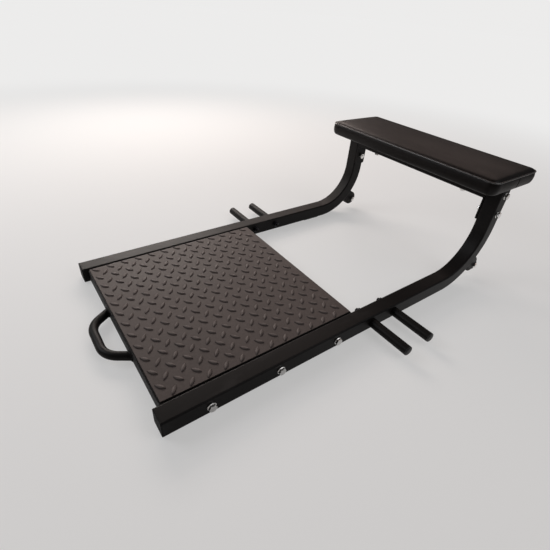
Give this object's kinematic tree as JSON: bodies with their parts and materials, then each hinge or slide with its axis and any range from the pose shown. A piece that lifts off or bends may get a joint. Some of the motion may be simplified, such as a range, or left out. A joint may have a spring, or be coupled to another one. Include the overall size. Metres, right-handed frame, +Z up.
{
  "type": "hip thrust bench",
  "caption": "Low hip thrust bench: padded back rest on bent square-tube rails, treaded foot platform, band pegs, carrying handle and transport wheels.",
  "frame": {"origin": "on the floor, midway along and midway across the bench", "axes": "+Z up, +Y from the handle at the front to the back rest at the rear, +X to the right as seen from the handle"},
  "size_m": [0.9832, 1.3985, 0.411],
  "materials": {
    "powder_coat": "satin black powder coat",
    "end_plastic": "black polyethylene",
    "foot_rubber": "plain black rubber",
    "tread_rubber": "moulded charcoal rubber with raised tread lugs",
    "pad_vinyl": "satin black vinyl upholstery",
    "board_wood": "raw plywood",
    "zinc": "bright zinc plate",
    "wheel_rubber": "plain black rubber",
    "hub_plastic": "black nylon"
  },
  "bodies": {
    "root": {"rail_left": "powder_coat", "rail_right": "powder_coat", "platform_front_bar": "powder_coat", "platform_rear_bar": "powder_coat", "platform_side_bar_left": "powder_coat", "platform_side_bar_right": "powder_coat", "platform_cross_bar_front": "powder_coat", "platform_cross_bar_rear": "powder_coat", "deck_plate": "powder_coat", "front_handle": "powder_coat", "band_peg_front_left": "powder_coat", "band_peg_front_right": "powder_coat", "band_peg_rear_left": "powder_coat", "band_peg_rear_right": "powder_coat", "crossbar": "powder_coat", "crossbar_plate_left": "powder_coat", "crossbar_plate_right": "powder_coat", "wheel_ear_inner_left": "powder_coat", "wheel_ear_inner_right": "powder_coat", "wheel_ear_outer_left": "powder_coat", "wheel_ear_outer_right": "powder_coat", "rail_front_cap_left": "end_plastic", "rail_front_cap_right": "end_plastic", "post_top_cap_left": "end_plastic", "post_top_cap_right": "end_plastic", "peg_cap_front_left": "end_plastic", "peg_cap_front_right": "end_plastic", "peg_cap_rear_left": "end_plastic", "peg_cap_rear_right": "end_plastic", "foot_pad_front_left": "foot_rubber", "foot_pad_front_right": "foot_rubber", "foot_pad_rear_left": "foot_rubber", "foot_pad_rear_right": "foot_rubber", "tread_mat": "tread_rubber", "pad_cushion": "pad_vinyl", "pad_board": "board_wood", "platform_bolt_front_left": "zinc", "platform_bolt_front_right": "zinc", "platform_bolt_middle_left": "zinc", "platform_bolt_middle_right": "zinc", "platform_bolt_rear_left": "zinc", "platform_bolt_rear_right": "zinc", "post_bolt_upper_left": "zinc", "post_bolt_upper_right": "zinc", "post_bolt_lower_left": "zinc", "post_bolt_lower_right": "zinc", "peg_nut_front_left": "zinc", "peg_nut_front_right": "zinc", "peg_nut_rear_left": "zinc", "peg_nut_rear_right": "zinc", "pad_bolt_left": "zinc", "pad_bolt_right": "zinc", "wheel_axle_bolt_left": "zinc", "wheel_axle_bolt_right": "zinc"},
    "wheel_left": {"wheel_tyre_left": "wheel_rubber", "wheel_hub_left": "hub_plastic"},
    "wheel_right": {"wheel_tyre_right": "wheel_rubber", "wheel_hub_right": "hub_plastic"}
  },
  "joints": [
    {"name": "wheel_left_spin", "type": "hinge", "parent": "root", "child": "wheel_left", "pos_m": [-0.325, 0.56662, 0.05049], "axis": [1, 0, 0], "continuous": true},
    {"name": "wheel_right_spin", "type": "hinge", "parent": "root", "child": "wheel_right", "pos_m": [0.325, 0.56662, 0.05049], "axis": [1, 0, 0], "continuous": true}
  ]
}
